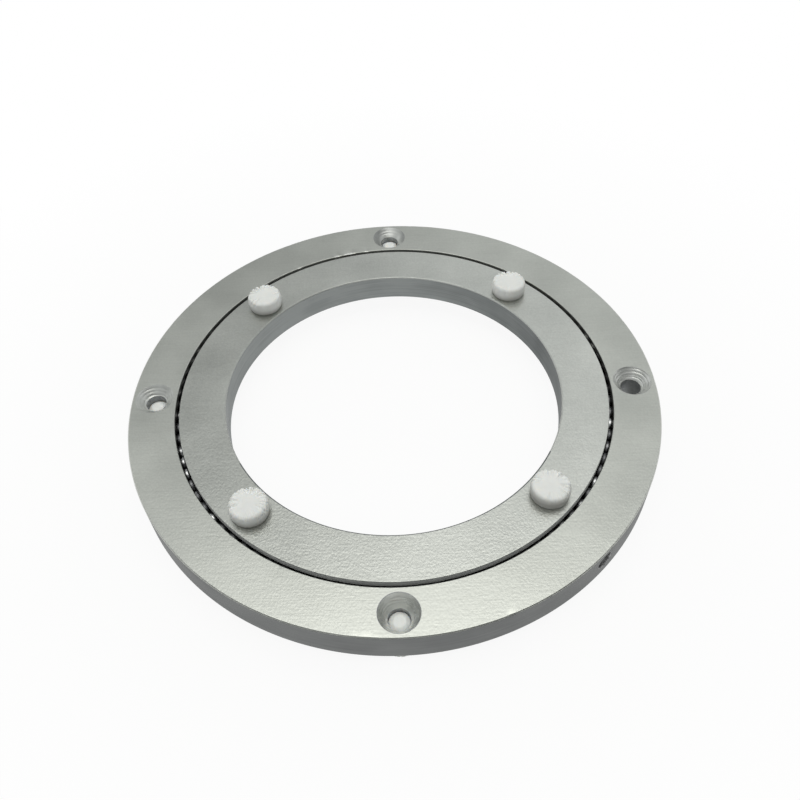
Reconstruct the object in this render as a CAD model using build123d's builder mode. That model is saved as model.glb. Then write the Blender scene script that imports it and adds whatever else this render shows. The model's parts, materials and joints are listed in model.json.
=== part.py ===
# Turntable bearing: two flat aluminium rings that turn in one another on a full row of steel balls.
# The origin is on the turning axis, in the plane that the feet stand on, with +Z up.
# The screw holes of the outer ring stand on the X and Y axes.
from build123d import *
import os
from math import atan, cos, degrees, pi, radians, sin, sqrt, tan

os.makedirs("parts", exist_ok=True)

# Rings
outer_diameter = 120.0  # over the outer ring
outer_width = 10.3  # from the outer ring's rim to the gap
outer_thickness = 8.0
inner_width = 10.45  # from the gap to the inner ring's bore
inner_thickness = 6.8
inner_proud = 0.1  # how far the inner ring's top face stands above the outer one's
ring_gap = 1.0  # running gap between the two rings, across the radius
inner_turn = 1.6  # degrees that the inner ring stands turned from its even position
edge_chamfer = 0.25

# Ball race
ball_diameter = 3.175
ball_play = 0.18  # least room from one ball to the next along the circle
race_clearance = 0.03  # between a ball and the flanks of its V-shaped race
ball_sides = 8  # flat facets round a ball, few so that the row stays light

# Countersunk holes, the same in both rings
hole_count = 4
hole_diameter = 4.6
countersink_diameter = 8.6
countersink_angle = 82.0

# Filling hole for the balls, in the outer ring's rim, and the set screw that closes it
fill_angle = -47.0  # degrees from +X
fill_margin = 0.825  # how much wider the filling hole is than a ball
fill_chamfer = 0.3
plug_recess = 3.0  # from the rim to the screw's outer end
plug_play = 0.15  # from the screw's inner end to the balls' path
plug_chamfer = 0.35
thread_clearance = 0.02
socket_across_flats = 2.0
socket_depth = 2.2

# Silicone buttons: pads on the inner ring, feet below the outer ring
button_diameter = 8.4  # round the head's widest belt
button_height = 3.7
button_belt = 1.9  # height of the widest belt above the seat
button_waist = 0.25  # how much the head's radius draws in from the belt to either end
button_shoulder = 0.5  # broken edge round the head's top
button_petals = 24  # flats round the head's rim
stem_clearance = 0.02  # between the stem and its hole
stem_length = 5.6  # from the seat to the tip
stem_tip_diameter = 4.2  # where the domed tip starts
stem_dome = 0.8  # height of the domed tip
stem_flat_diameter = 2.0  # at the very tip

# Places on the rings, in degrees from +X. The screw hole at 0 degrees has lost its foot
pad_angles = {
    "pad_back_right": 45.0 + inner_turn,
    "pad_back_left": 135.0 + inner_turn,
    "pad_front_left": 225.0 + inner_turn,
    "pad_front_right": 315.0 + inner_turn,
}
foot_angles = {"foot_back": 90.0, "foot_left": 180.0, "foot_front": 270.0}

# Places that follow from the sizes above
outer_radius = outer_diameter / 2
gap_outside = outer_radius - outer_width
gap_inside = gap_outside - ring_gap
bore_radius = gap_inside - inner_width
race_radius = (gap_outside + gap_inside) / 2  # of the circle that the ball centres run on
ball_radius = ball_diameter / 2
race_width = ball_diameter + 2 * race_clearance  # across the flanks of the two facing V grooves
outer_bottom = button_height
outer_top = outer_bottom + outer_thickness
inner_top = outer_top + inner_proud
inner_bottom = inner_top - inner_thickness
ball_plane = (inner_top + inner_bottom) / 2
outer_hole_circle = (outer_radius + gap_outside) / 2
inner_hole_circle = (bore_radius + gap_inside) / 2
ball_count = int(2 * pi * race_radius / (ball_diameter + ball_play))

outer_top_plane = Plane.XY.offset(outer_top)
inner_top_plane = Plane.XY.offset(inner_top)
outer_underside = Plane(origin=(0, 0, outer_bottom), x_dir=(1, 0, 0), z_dir=(0, 0, -1))
inner_underside = Plane(origin=(0, 0, inner_bottom), x_dir=(1, 0, 0), z_dir=(0, 0, -1))


# One ball, with its corners on the true sphere: a belt of facets and a sloping row above and below it
facet_rise = tan(pi / ball_sides)
belt_radius = ball_radius / sqrt(1 + 2 * facet_rise**2)
belt_height = belt_radius * facet_rise
cap_height = belt_radius - belt_height
with BuildPart() as ball:
    with BuildSketch():
        RegularPolygon(belt_radius, ball_sides, major_radius=False)
    extrude(amount=belt_height)
    with BuildSketch(Plane.XY.offset(belt_height)):
        RegularPolygon(belt_radius, ball_sides, major_radius=False)
    extrude(amount=cap_height, taper=45)
    mirror(about=Plane.XY)

# The row of balls in the race
with BuildPart(Plane.XY.offset(ball_plane)) as bearing_balls:
    with PolarLocations(race_radius, ball_count):
        add(ball.part)
bearing_balls.part.label = "bearing_balls"
export_step(bearing_balls.part, "parts/bearing_balls.step")

# The filling hole lies along the ball plane and points out of the rim
fill_direction = (cos(radians(fill_angle)), sin(radians(fill_angle)), 0)
fill_mouth = Plane(
    origin=(outer_radius * fill_direction[0], outer_radius * fill_direction[1], ball_plane),
    x_dir=(0, 0, 1),
    z_dir=fill_direction,
)
fill_radius = (ball_diameter + fill_margin) / 2

# Outer ring: a turned flat ring with the race in its inner wall
with BuildPart() as outer_ring:
    with BuildSketch(Plane.XZ) as outer_section:
        with Locations(((gap_outside + outer_radius) / 2, (outer_bottom + outer_top) / 2)):
            Rectangle(outer_radius - gap_outside, outer_thickness)
        outer_corners = outer_section.vertices().group_by(Axis.Y)
        chamfer([*outer_corners[-1], outer_corners[0].sort_by(Axis.X)[-1]], edge_chamfer)
        with Locations((race_radius, ball_plane)):
            Rectangle(race_width, race_width, rotation=45, mode=Mode.SUBTRACT)
    revolve(axis=Axis.Z)
    with Locations(outer_top_plane):
        with PolarLocations(outer_hole_circle, hole_count):
            CounterSinkHole(
                hole_diameter / 2,
                countersink_diameter / 2,
                depth=outer_thickness,
                counter_sink_angle=countersink_angle,
            )
    with Locations(fill_mouth):
        CounterSinkHole(
            fill_radius,
            fill_radius + fill_chamfer,
            depth=outer_radius - race_radius,
            counter_sink_angle=90,
        )
outer_ring.part.label = "outer_ring"
export_step(outer_ring.part, "parts/outer_ring.step")

# Inner ring: the same holes, countersunk from below
with BuildPart() as inner_ring:
    with BuildSketch(Plane.XZ) as inner_section:
        with Locations(((bore_radius + gap_inside) / 2, ball_plane)):
            Rectangle(gap_inside - bore_radius, inner_thickness)
        inner_corners = inner_section.vertices().group_by(Axis.Y)
        chamfer([*inner_corners[-1], inner_corners[0].sort_by(Axis.X)[0]], edge_chamfer)
        with Locations((race_radius, ball_plane)):
            Rectangle(race_width, race_width, rotation=45, mode=Mode.SUBTRACT)
    revolve(axis=Axis.Z)
    with Locations(inner_underside):
        with PolarLocations(inner_hole_circle, hole_count, start_angle=-pad_angles["pad_back_right"]):
            CounterSinkHole(
                hole_diameter / 2,
                countersink_diameter / 2,
                depth=inner_thickness,
                counter_sink_angle=countersink_angle,
            )
inner_ring.part.label = "inner_ring"
export_step(inner_ring.part, "parts/inner_ring.step")

# Set screw in the filling hole: pointed inwards with a hexagon socket in its outer end
plug_radius = fill_radius - thread_clearance
plug_length = outer_radius - plug_recess - (race_radius + ball_radius + plug_play)
plug_face = fill_mouth.offset(-plug_recess)
with BuildPart() as fill_plug:
    with BuildSketch(plug_face):
        Circle(plug_radius)
    extrude(amount=-plug_length)
    chamfer(fill_plug.faces().sort_by(Axis((0, 0, 0), fill_direction))[-1].edges(), plug_chamfer)
    with BuildSketch(plug_face):
        RegularPolygon(socket_across_flats / 2, 6, major_radius=False)
    extrude(amount=-socket_depth, mode=Mode.SUBTRACT)
fill_plug.part.label = "fill_plug"
export_step(fill_plug.part, "parts/fill_plug.step")

# The lower half of a silicone button, modelled upside down from its belt to the tip of its stem
stem_radius = hole_diameter / 2 - stem_clearance
stem_tip_radius = stem_tip_diameter / 2
stem_shank = stem_length - stem_dome
dome_run = stem_tip_radius - stem_flat_diameter / 2
with BuildPart() as button_root:
    with BuildSketch(Plane.XY.offset(-button_belt)):
        RegularPolygon(button_diameter / 2, button_petals)
    extrude(amount=button_belt, taper=degrees(atan(button_waist / button_belt)))
    with BuildSketch():
        RegularPolygon(stem_radius, button_petals)
    extrude(amount=stem_shank, taper=degrees(atan((stem_radius - stem_tip_radius) / stem_shank)))
    with BuildSketch(Plane.XY.offset(stem_shank)):
        RegularPolygon(stem_tip_radius, button_petals)
    extrude(amount=stem_dome, taper=degrees(atan(dome_run / stem_dome)))

# The whole button, seated at Z = 0 with its head up and its stem down
belt_to_top = button_height - button_belt
with BuildPart() as button:
    with BuildSketch(Plane.XY.offset(button_belt)):
        RegularPolygon(button_diameter / 2, button_petals)
    extrude(amount=belt_to_top, taper=degrees(atan(button_waist / belt_to_top)))
    chamfer(button.faces().sort_by(Axis.Z)[-1].edges(), button_shoulder)
    mirror(button_root.part, about=Plane.XY)

# Pads on top of the inner ring
for name, angle in pad_angles.items():
    with BuildPart(inner_top_plane) as pad:
        with PolarLocations(inner_hole_circle, 1, start_angle=angle):
            add(button.part)
    pad.part.label = name
    export_step(pad.part, f"parts/{name}.step")

# Feet below the outer ring, seen from beneath, where angles run the other way
for name, angle in foot_angles.items():
    with BuildPart(outer_underside) as foot:
        with PolarLocations(outer_hole_circle, 1, start_angle=-angle):
            add(button.part)
    foot.part.label = name
    export_step(foot.part, f"parts/{name}.step")
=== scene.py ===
import json
import math

import bmesh
import bpy
import numpy as np
from mathutils import Matrix, Vector


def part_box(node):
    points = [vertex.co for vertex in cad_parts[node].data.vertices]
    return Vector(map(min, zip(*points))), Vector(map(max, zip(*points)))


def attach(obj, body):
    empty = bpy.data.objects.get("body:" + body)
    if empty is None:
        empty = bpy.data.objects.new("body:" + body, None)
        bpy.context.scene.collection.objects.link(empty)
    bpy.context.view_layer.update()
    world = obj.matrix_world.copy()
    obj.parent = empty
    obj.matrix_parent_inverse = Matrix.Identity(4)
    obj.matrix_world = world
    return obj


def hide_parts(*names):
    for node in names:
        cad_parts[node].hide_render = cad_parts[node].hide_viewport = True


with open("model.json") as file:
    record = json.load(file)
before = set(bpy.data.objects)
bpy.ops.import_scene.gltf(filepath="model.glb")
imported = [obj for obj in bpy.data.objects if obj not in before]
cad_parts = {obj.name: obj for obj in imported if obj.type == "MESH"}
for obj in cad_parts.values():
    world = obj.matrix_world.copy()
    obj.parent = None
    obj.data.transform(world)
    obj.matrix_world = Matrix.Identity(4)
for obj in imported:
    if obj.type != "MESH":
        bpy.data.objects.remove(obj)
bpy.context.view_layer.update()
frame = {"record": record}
mm = 0.001
fullTurn = 2 * math.pi


# Sizes that the frame gives

def boxInMm(node):
    low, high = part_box(node)
    return np.array(low) / mm, np.array(high) / mm


mounts = {m["name"]: m for m in frame["record"]["mounts"]}
outerLow, outerHigh = boxInMm("outer_ring")
innerLow, innerHigh = boxInMm("inner_ring")
padLow, padHigh = boxInMm("pad_back_right")
outerRadius = (outerHigh[0] - outerLow[0]) / 2
gapInside = (innerHigh[0] - innerLow[0]) / 2
boreRadius = mounts["centre_bore"]["dims"]["r_mm"]
ballPlane = mounts["centre_bore"]["pos_m"][2] / mm
outerHoleCircle = mounts["screw_hole"]["pos_m"][0] / mm
holeRadius = mounts["screw_hole"]["dims"]["r_mm"]
innerHoleCircle = (boreRadius + gapInside) / 2
outerBottom, outerTop = outerLow[2], outerHigh[2]
innerBottom, innerTop = innerLow[2], innerHigh[2]
headHeight = outerBottom  # the feet's heads fill the room below the outer ring

# Sizes that both rings share with their balls
race = {
    "gap": 1.0,
    "grooveWidth": 3.235,  # across the flanks of the two facing V grooves
    "ballDiameter": 3.175,
    "ballPlay": 0.18,
}
gapOutside = gapInside + race["gap"]
raceRadius = gapInside + race["gap"] / 2
grooveReach = race["grooveWidth"] / math.sqrt(2)  # from the ball circle to the bottom of a V groove
grooveHalf = grooveReach - race["gap"] / 2  # half the height of a groove's mouth
holeCount = 4  # on either ring
firstPad = 45.0  # degrees from +X to the first pad, before the inner ring's turn
padX, padY = (padLow + padHigh)[:2] / 2
innerTurn = math.degrees(math.atan2(padY, padX)) - firstPad


# Camera, at the photograph's viewing angle

cameraView = {
    "elevation": 49.077,  # degrees above the rings' plane
    "azimuth": 1.2,  # degrees round the axis from the front
    "distance": 186.719,
    "yaw": -0.443,  # the three small turns away from the rings' centre, in degrees
    "pitch": 0.767,
    "roll": -3.094,
    "lens": 36.627,
    "sensor": 36.0,
    "clip": (0.005, 50.0),  # metres
}


def addCamera(view):
    # The camera stands on a sphere round the centre of the outer ring's top and looks at it,
    # then is turned by its own three small angles
    elevation = math.radians(view["elevation"])
    azimuth = Matrix.Rotation(math.radians(view["azimuth"]), 3, "Z")
    place = azimuth @ Vector((0, -math.cos(elevation), math.sin(elevation))) * view["distance"]
    right = azimuth @ Vector((1, 0, 0))
    forward = -place.normalized()
    looks = Matrix((right, forward.cross(right), forward))
    for angle, axis in (("yaw", "Y"), ("pitch", "X"), ("roll", "Z")):
        looks = Matrix.Rotation(math.radians(view[angle]), 3, axis) @ looks
    right, down, forward = looks
    pose = Matrix((right, -down, -forward)).transposed().to_4x4()
    pose.translation = (place + Vector((0, 0, outerTop))) * mm
    data = bpy.data.cameras.new("photoCamera")
    data.lens = view["lens"]
    data.sensor_width = view["sensor"]
    data.clip_start, data.clip_end = view["clip"]
    camera = bpy.data.objects.new("photoCamera", data)
    camera.matrix_world = pose
    bpy.context.scene.collection.objects.link(camera)
    bpy.context.scene.camera = camera


addCamera(cameraView)
print("camera placed")


# Node helpers

def toLinear(hexColour):
    # Each sRGB channel c becomes ((c + 0.055) / 1.055) ^ 2.4, or c / 12.92 where it is very dark
    channels = [int(hexColour[i : i + 2], 16) / 255 for i in (1, 3, 5)]
    linear = [((c + 0.055) / 1.055) ** 2.4 if c > 0.04045 else c / 12.92 for c in channels]
    return (*linear, 1.0)


def setUp(tree, node, settings):
    # A setting is one of the node's own properties, or a socket's source, hex colour or value
    for name, value in settings.items():
        if isinstance(value, bpy.types.NodeSocket):
            tree.links.new(value, node.inputs[name])
        elif isinstance(name, str) and hasattr(node, name):
            setattr(node, name, value)
        else:
            node.inputs[name].default_value = toLinear(value) if isinstance(value, str) else value


def addNode(tree, kind, settings, output=0):
    # Adds a node with its settings and links, and gives one of its outputs where it has any
    node = tree.nodes.new("ShaderNode" + kind)
    setUp(tree, node, settings)
    return node.outputs[output] if node.outputs else node


def newMaterial(name):
    # Gives the material, its node tree, its shader and the place on the object that its patterns follow
    material = bpy.data.materials.new(name)
    material.use_nodes = True
    tree = material.node_tree
    tree.nodes.clear()
    shader = tree.nodes.new("ShaderNodeBsdfPrincipled")
    addNode(tree, "OutputMaterial", {"Surface": shader.outputs[0]})
    return material, tree, shader, addNode(tree, "TexCoord", {}, "Object")


def cloudyPattern(tree, place, size, detail=2.0, roughness=0.5):
    # Noise from 0 to 1 whose spots are as long as size says, in millimetres along X, Y and Z
    scaled = addNode(tree, "Mapping", {"Vector": place, "Scale": tuple(1 / (s * mm) for s in size)})
    settings = {"Vector": scaled, "Scale": 1.0, "Detail": detail, "Roughness": roughness}
    return addNode(tree, "TexNoise", settings)


def fromTo(ends, low=0.0, high=1.0):
    # How a value that runs between two ends is turned into one that runs from low to high
    return {"From Min": ends[0], "From Max": ends[1], "To Min": low, "To Max": high}


def inMetres(*lengths):
    return tuple(length * mm for length in lengths)


# Materials

# Sizes of patterns, depths and distances are in millimetres. A Mix node has its two colours at inputs 6
# and 7, and the mixed one at output 2
cloudEnds = (0.3, 0.7)  # most of a cloudy pattern lies between these
sanding = {
    "roughness": (0.29, 0.35),
    "streak": (6.0, 0.4, 0.4),  # length and width of the sanding marks, which lie along X
    "streakDepth": 0.012,
    "streakTone": 0.25,
    "blotch": (14.0, 14.0, 14.0),
    "blotchTone": 0.4,
}
# Each ring's own face: its two colours and how much tone lies between them, the size, depth and tone of
# its grit, and how much its tone rises per metre along X, Y and Z, a painted shade that makes one side
# darker than the other. The grit is drawn coarser than the real one, so that it shows
outerFinish = {
    "dark": "#bbbdb7",
    "light": "#cfd1cb",
    "toneReach": 0.2,
    "gritSize": (0.42, 0.54, 0.54),
    "gritDepth": 0.02,
    "gritTone": 0.25,
    "rise": (0.0, 0.0, 0.0),
}
innerFinish = {
    "dark": "#a9aba6",
    "light": "#dfe1dc",
    "toneReach": 0.5,
    "gritSize": (0.4, 0.5, 0.5),
    "gritDepth": 0.033,
    "gritTone": 0.4,
    # painted shade: the inner face is darker towards -X and -Y and lighter towards +X and +Y
    "rise": (3.6, 1.8, 0.0),
}


def sandedAluminium(name, finish):
    # Bare aluminium bar, belt-sanded along X: matt, with fine straight marks and a sparkling grit
    material, tree, shader, place = newMaterial(name)
    streak = cloudyPattern(tree, place, sanding["streak"], detail=3.0, roughness=0.6)
    grit = cloudyPattern(tree, place, finish["gritSize"], detail=1.0)
    blotch = cloudyPattern(tree, place, sanding["blotch"])
    shares = (sanding["streakTone"], finish["gritTone"], sanding["blotchTone"])
    # The tone starts from a painted shade that rises along the finish's direction
    settings = {"operation": "DOT_PRODUCT", 0: place, 1: finish["rise"]}
    tone = addNode(tree, "VectorMath", settings, "Value")
    for pattern, share in zip((streak, grit, blotch), shares):
        centred = addNode(tree, "Math", {"operation": "SUBTRACT", 0: pattern, 1: 0.5})
        part = addNode(tree, "Math", {"operation": "MULTIPLY", 0: centred, 1: share})
        tone = addNode(tree, "Math", {"operation": "ADD", 0: tone, 1: part})
    ends = (-finish["toneReach"], finish["toneReach"])
    tone = addNode(tree, "MapRange", {"Value": tone, **fromTo(ends)})
    colour = addNode(tree, "Mix", {"data_type": "RGBA", 0: tone, 6: finish["dark"], 7: finish["light"]}, 2)
    rough = addNode(tree, "MapRange", {"Value": blotch, **fromTo(cloudEnds, *sanding["roughness"])})
    fine = addNode(tree, "Bump", {"Distance": finish["gritDepth"] * mm, "Height": grit})
    depth = sanding["streakDepth"] * mm
    marks = addNode(tree, "Bump", {"Distance": depth, "Height": streak, "Normal": fine})
    setUp(tree, shader, {"Base Color": colour, "Metallic": 1.0, "Roughness": rough, "Normal": marks})
    return material


# The walls' colours are darker than the sanded faces' as a painted shade, for the dark room that they mirror
rimFinish = {
    "dark": "#686a6a",
    "light": "#858786",
    "cleanSide": (0.0, 0.0, 0.0),  # direction in which its tone rises as painted light, none on the rim
    "cleanEnds": (-1.0, 1.0),  # places along that direction between which it rises
}
boreFinish = {
    "dark": "#696d6d",
    "light": "#979b9a",
    # painted light: the bore wall is lighter towards the back left
    "cleanSide": (-0.64, 0.77, 0.0),
    "cleanEnds": (-29.0, 38.0),
}
turning = {
    "line": (30.0, 30.0, 0.3),  # length and spacing of the turning lines
    "cloud": (9.0, 9.0, 5.0),
    "toneEnds": (0.7, 1.3),  # of the two patterns together
    "tone": 0.25,
    "depth": 0.01,
    "roughness": 0.55,
}


def turnedWall(name, finish):
    # Turned aluminium wall, dull, with fine lines round the axis. Its colours are darker than the sanded
    # faces' as a painted shade, and its tone rises towards its lit side as painted light
    material, tree, shader, place = newMaterial(name)
    line = cloudyPattern(tree, place, turning["line"])
    cloud = cloudyPattern(tree, place, turning["cloud"])
    # Painted light: the tone rises towards the lit side
    settings = {"operation": "DOT_PRODUCT", 0: place, 1: finish["cleanSide"]}
    side = addNode(tree, "VectorMath", settings, "Value")
    both = addNode(tree, "Math", {"operation": "ADD", 0: line, 1: cloud})
    uneven = fromTo(turning["toneEnds"], -turning["tone"], turning["tone"])
    tone = addNode(tree, "MapRange", {"Value": both, **uneven})
    rise = addNode(tree, "MapRange", {"Value": side, **fromTo(inMetres(*finish["cleanEnds"]))})
    tone = addNode(tree, "Math", {"operation": "ADD", 0: tone, 1: rise})
    colour = addNode(tree, "Mix", {"data_type": "RGBA", 0: tone, 6: finish["dark"], 7: finish["light"]}, 2)
    bump = addNode(tree, "Bump", {"Distance": turning["depth"] * mm, "Height": line})
    look = {"Base Color": colour, "Metallic": 1.0, "Roughness": turning["roughness"], "Normal": bump}
    setUp(tree, shader, look)
    return material


coneFinish = {
    "dark": "#c6c8c4",
    "light": "#e4e5e2",
    "roughness": 0.32,
    "metal": 0.8,
    "cloud": (3.0, 3.0, 3.0),
    "ring": (30.0, 30.0, 0.09),  # length and spacing of the cutter's rings
    "depth": 0.012,
    "oiled": "#a2a4a2",  # painted shade on the two sides of the back countersink, leaving a painted highlight band down its middle
    "oiledLine": 0.5,  # place along X of the line midway between those sides
    "oiledEnds": (2.2, 3.3),  # distances from that line where the painted shade starts and is full
}


def drilledCone():
    # Countersink as the cutter left it: bright, with rings too fine to see that spread its highlights up
    # and down the cone
    material, tree, shader, place = newMaterial("countersunkAluminium")
    finish = coneFinish
    cloud = cloudyPattern(tree, place, finish["cloud"], detail=1.0)
    ring = cloudyPattern(tree, place, finish["ring"], detail=1.0)
    tone = addNode(tree, "MapRange", {"Value": cloud, **fromTo(cloudEnds)})
    colour = addNode(tree, "Mix", {"data_type": "RGBA", 0: tone, 6: finish["dark"], 7: finish["light"]}, 2)
    # On the back countersink a painted shade darkens the two sides, so that the middle shows as a painted
    # highlight band
    across, back = (addNode(tree, "SeparateXYZ", {0: place}, axis) for axis in "XY")
    side = addNode(tree, "Math", {"operation": "SUBTRACT", 0: across, 1: finish["oiledLine"] * mm})
    side = addNode(tree, "Math", {"operation": "ABSOLUTE", 0: side})
    oiled = addNode(tree, "MapRange", {"Value": side, **fromTo(inMetres(*finish["oiledEnds"]))})
    atBack = addNode(tree, "Math", {"operation": "GREATER_THAN", 0: back, 1: gapOutside * mm})
    oiled = addNode(tree, "Math", {"operation": "MULTIPLY", 0: oiled, 1: atBack})
    colour = addNode(tree, "Mix", {"data_type": "RGBA", 0: oiled, 6: colour, 7: finish["oiled"]}, 2)
    bump = addNode(tree, "Bump", {"Distance": finish["depth"] * mm, "Height": ring})
    look = {
        "Base Color": colour,
        "Metallic": finish["metal"],
        "Roughness": finish["roughness"],
        "Normal": bump,
    }
    setUp(tree, shader, look)
    return material


def cloudyMetal(name, finish):
    # Metal without marks of its own, between two colours by a cloudy pattern
    material, tree, shader, place = newMaterial(name)
    cloud = cloudyPattern(tree, place, finish["cloud"], detail=finish["detail"])
    tone = addNode(tree, "MapRange", {"Value": cloud, **fromTo(finish["toneEnds"])})
    colour = addNode(tree, "Mix", {"data_type": "RGBA", 0: tone, 6: finish["dark"], 7: finish["light"]}, 2)
    look = {"Base Color": colour, "Metallic": finish["metal"], "Roughness": finish["roughness"]}
    setUp(tree, shader, look)
    return material


# Inside of a drilled hole: dull and dark, because the drill tore it and old oil stays in it
drilledFinish = {
    "dark": "#a3a5a6",
    "light": "#b7b9ba",
    "cloud": (0.9, 0.9, 0.9),
    "detail": 2.0,
    "toneEnds": cloudEnds,
    "metal": 1.0,
    "roughness": 0.6,
}
# Tapped thread: as dull, darker and cloudier, partly from old oil and partly as a painted shade for the
# deep hole
tappedFinish = {**drilledFinish, "dark": "#5a5b5c", "light": "#c4c5c5"}
# Bare bright metal where an edge is chipped, made mostly matt and near white so that it shines from every
# side: partly a painted glint
chipGlintFinish = {
    "dark": "#dcddda",
    "light": "#fafaf8",
    "cloud": (0.5, 0.5, 0.5),
    "detail": 1.0,
    "toneEnds": (0.4, 0.6),
    "metal": 0.3,
    "roughness": 0.5,
}
# Race wall darkened, partly by old oil and partly as a painted shade that keeps the gap between the rings
# black
oilAndShadeFinish = {
    "dark": "#7c7d79",
    "light": "#a2a39f",
    "cloud": (2.0, 2.0, 0.6),
    "detail": 2.0,
    "toneEnds": (0.0, 1.0),
    "metal": 1.0,
    "roughness": 0.4,
}
# Wall of the gap above the race: turned, then left with a pale oxide, so it is grey where light gets in
etchedFinish = {
    "dark": "#d6d8d6",
    "light": "#ecedeb",
    "cloud": (3.0, 3.0, 1.0),
    "detail": 3.0,
    "toneEnds": (0.0, 1.0),
    "metal": 0.0,
    "roughness": 0.85,
}
ballFinish = {
    "dark": "#6a6b6d",
    "light": "#bcbdbe",
    "film": (4.0, 4.0, 4.0),
    "cleanEnds": (0.56, 0.64),  # of the film's pattern, between which the steel comes out clean
    "roughness": (0.4, 0.18),  # under the film and clean
}


def greasedShadedBallSteel():
    # Ground and polished chrome steel, darkened partly by a film of old grease and partly as a painted shade
    # that keeps it dark in the gap, but for a few clean spots that glint
    material, tree, shader, place = newMaterial("greasedChromeSteel")
    finish = ballFinish
    film = cloudyPattern(tree, place, finish["film"], detail=1.0)
    clean = addNode(tree, "MapRange", {"Value": film, **fromTo(finish["cleanEnds"])})
    rough = addNode(tree, "MapRange", {"Value": clean, **fromTo((0.0, 1.0), *finish["roughness"])})
    colour = addNode(tree, "Mix", {"data_type": "RGBA", 0: clean, 6: finish["dark"], 7: finish["light"]}, 2)
    setUp(tree, shader, {"Base Color": colour, "Metallic": 1.0, "Roughness": rough})
    return material


screwFinish = {
    "dark": "#3a3b3d",
    "light": "#77787a",
    "wear": (0.5, 0.5, 0.5),
    "roughness": (0.35, 0.55),
}


def blackOxideSteel():
    # Set screw with a black oxide skin, rubbed on its edges
    material, tree, shader, place = newMaterial("blackOxideSteel")
    finish = screwFinish
    wear = cloudyPattern(tree, place, finish["wear"], detail=3.0)
    rough = addNode(tree, "MapRange", {"Value": wear, **fromTo(cloudEnds, *finish["roughness"])})
    colour = addNode(tree, "Mix", {"data_type": "RGBA", 0: wear, 6: finish["dark"], 7: finish["light"]}, 2)
    setUp(tree, shader, {"Base Color": colour, "Metallic": 1.0, "Roughness": rough})
    return material


siliconeFinish = {
    "dark": "#eff0ed",
    "light": "#f8f9f6",
    "cloud": (1.6, 1.6, 1.6),
    "grain": (0.18, 0.18, 0.18),
    "grainDepth": 0.012,
    "roughness": 0.55,
    "ior": 1.41,
    "translucent": 0.35,
    "scatter": 0.5,  # how far light goes inside it, and the share of that for red, green and blue
    "scatterShares": (1.0, 0.9, 0.8),
    # Painted shade, darker low down where the pads meet the inner ring: its colour and how high it reaches
    "soiled": "#c2c1bd",
    "soiledHeight": 1.8,
    "soiledSide": (0.024, -0.024, 0.0),  # how much higher the painted shade reaches, per millimetre towards that side
}


def mouldedSilicone():
    # White silicone rubber, moulded: matt and a little translucent, with a faintly uneven skin. A painted
    # shade darkens it low down where it meets the inner ring, and higher up towards the front right
    material, tree, shader, place = newMaterial("mouldedWhiteSilicone")
    finish = siliconeFinish
    cloud = cloudyPattern(tree, place, finish["cloud"], detail=3.0)
    grain = cloudyPattern(tree, place, finish["grain"])
    colour = addNode(tree, "Mix", {"data_type": "RGBA", 0: cloud, 6: finish["dark"], 7: finish["light"]}, 2)
    height = addNode(tree, "SeparateXYZ", {0: place}, "Z")
    height = addNode(tree, "Math", {"operation": "SUBTRACT", 0: height, 1: innerTop * mm})
    height = addNode(tree, "Math", {"operation": "ABSOLUTE", 0: height})
    settings = {"operation": "DOT_PRODUCT", 0: place, 1: finish["soiledSide"]}
    higher = addNode(tree, "VectorMath", settings, "Value")
    higher = addNode(tree, "Math", {"operation": "MAXIMUM", 0: higher, 1: 0.0})
    height = addNode(tree, "Math", {"operation": "SUBTRACT", 0: height, 1: higher})
    share = addNode(tree, "MapRange", {"Value": height, **fromTo(inMetres(0.0, finish["soiledHeight"]))})
    colour = addNode(tree, "Mix", {"data_type": "RGBA", 0: share, 6: finish["soiled"], 7: colour}, 2)
    bump = addNode(tree, "Bump", {"Distance": finish["grainDepth"] * mm, "Height": grain})
    look = {
        "Base Color": colour,
        "Normal": bump,
        "Roughness": finish["roughness"],
        "IOR": finish["ior"],
        "Subsurface Weight": finish["translucent"],
        "Subsurface Radius": finish["scatterShares"],
        "Subsurface Scale": finish["scatter"] * mm,
    }
    setUp(tree, shader, look)
    return material


outerFace = sandedAluminium("sandedAluminiumOuter", outerFinish)
innerFace = sandedAluminium("sandedAluminiumInner", innerFinish)
rimWall = turnedWall("turnedAluminiumRim", rimFinish)
boreWall = turnedWall("turnedAluminiumBore", boreFinish)
chipGlintEdge = cloudyMetal("chippedAluminiumEdge", chipGlintFinish)
countersunkCone = drilledCone()
drilledHole = cloudyMetal("drilledAluminiumBore", drilledFinish)
tappedThread = cloudyMetal("tappedAluminiumThread", tappedFinish)
gapWall = cloudyMetal("etchedAluminiumGap", etchedFinish)
oilAndShadeRace = cloudyMetal("oiledAluminiumRace", oilAndShadeFinish)
ballSteel = greasedShadedBallSteel()
screwSteel = blackOxideSteel()
silicone = mouldedSilicone()
print("materials made")


# Mesh helpers

meshing = {
    "weld": 1e-6,  # metres between points that are one
    "same": 1e-6,  # millimetres between levels that are one
    "sharpAngle": 32.0,  # degrees that the surface bends at an edge that looks sharp
    "patchRows": 7,  # rows of cells from a ring's own grid to a hole's rim
    "patchPower": 0.8,  # below 1 the rows lie closer together towards the rim
}


def gridQuads(rows, columns, closedRows=False, closedColumns=False):
    # Quads between neighbours of a rows by columns grid of points, numbered row by row
    i = np.arange(rows if closedRows else rows - 1)[:, None]
    j = np.arange(columns if closedColumns else columns - 1)[None, :]
    nextI, nextJ = (i + 1) % rows, (j + 1) % columns
    near, far = i * columns, nextI * columns
    return np.stack([near + j, far + j, far + nextJ, near + nextJ], -1).reshape(-1, 4)


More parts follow.
